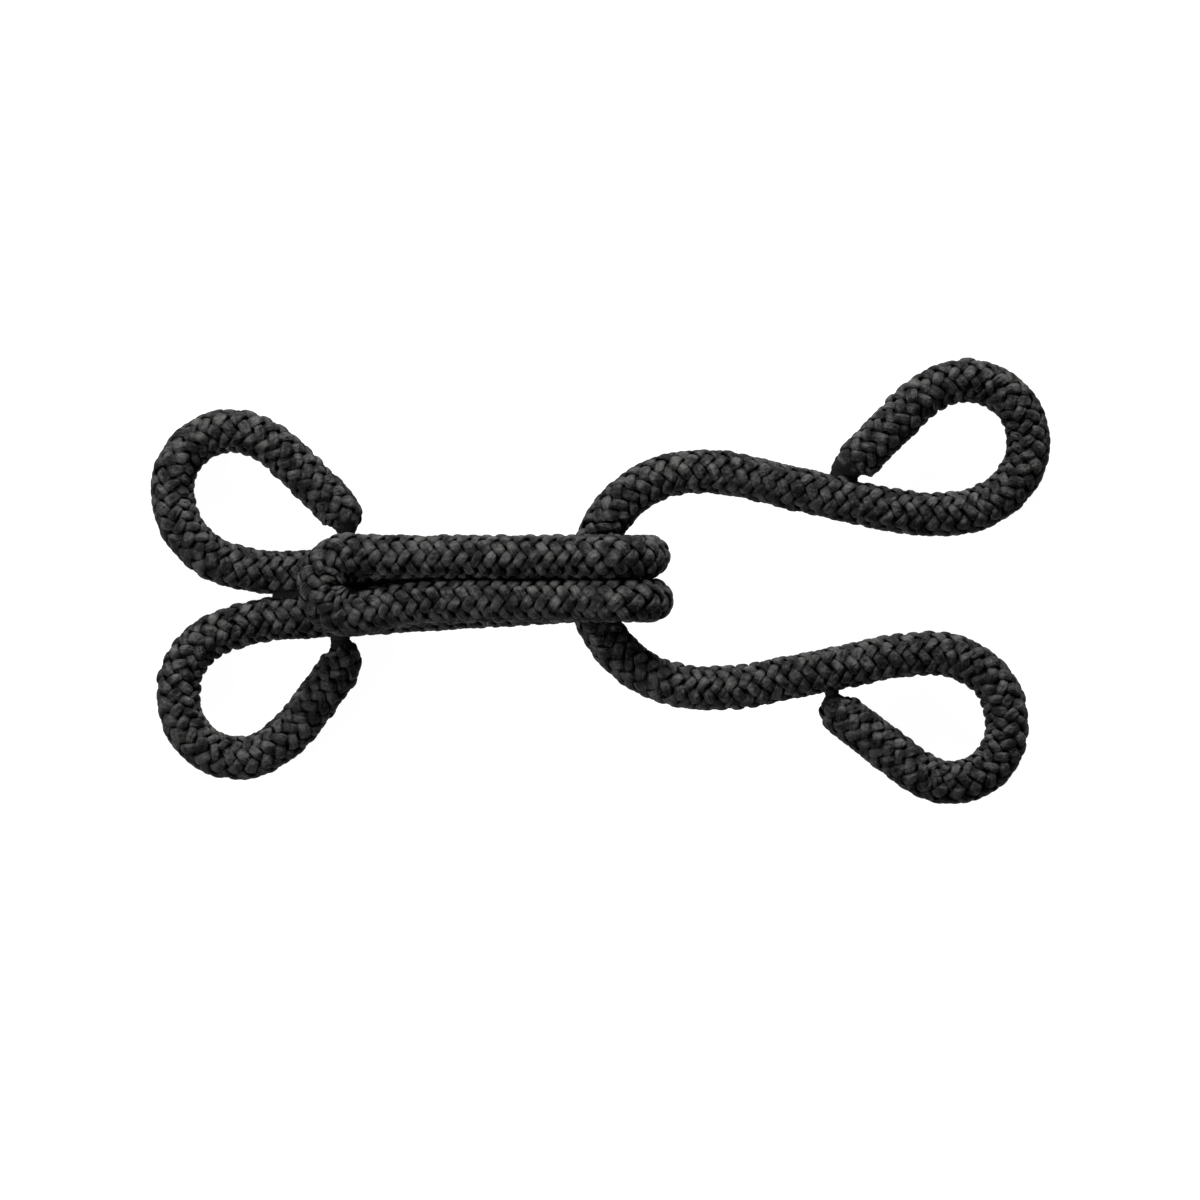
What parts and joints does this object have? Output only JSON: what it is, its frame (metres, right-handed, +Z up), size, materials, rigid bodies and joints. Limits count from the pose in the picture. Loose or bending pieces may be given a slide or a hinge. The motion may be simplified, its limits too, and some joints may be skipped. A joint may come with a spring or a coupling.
{
  "type": "hook and eye clasp",
  "caption": "Covered hook and eye clasp, fastened and lying flat: braid-sleeved wire with sewing loops, closing the edges of a coat or garment.",
  "frame": {"origin": "middle of the clasp's footprint, on the surface that it lies on", "axes": "+X from the hook's sewing loops to the eye's sewing loops, +Z up off the surface, +Y across the clasp"},
  "size_m": [0.05, 0.0248, 0.0077],
  "materials": {
    "hook_braid": "charcoal braided sleeve",
    "eye_braid": "charcoal braided sleeve",
    "wire": "plain drawn wire",
    "tack_thread": "black thread and glue"
  },
  "bodies": {
    "root": {"hook_cover": "hook_braid", "hook_wire": "wire", "hook_upper_tack": "tack_thread", "hook_lower_tack": "tack_thread", "hook_shank_tack": "tack_thread", "eye_cover": "eye_braid", "eye_wire": "wire", "eye_upper_tack": "tack_thread", "eye_lower_tack": "tack_thread"}
  },
  "joints": []
}
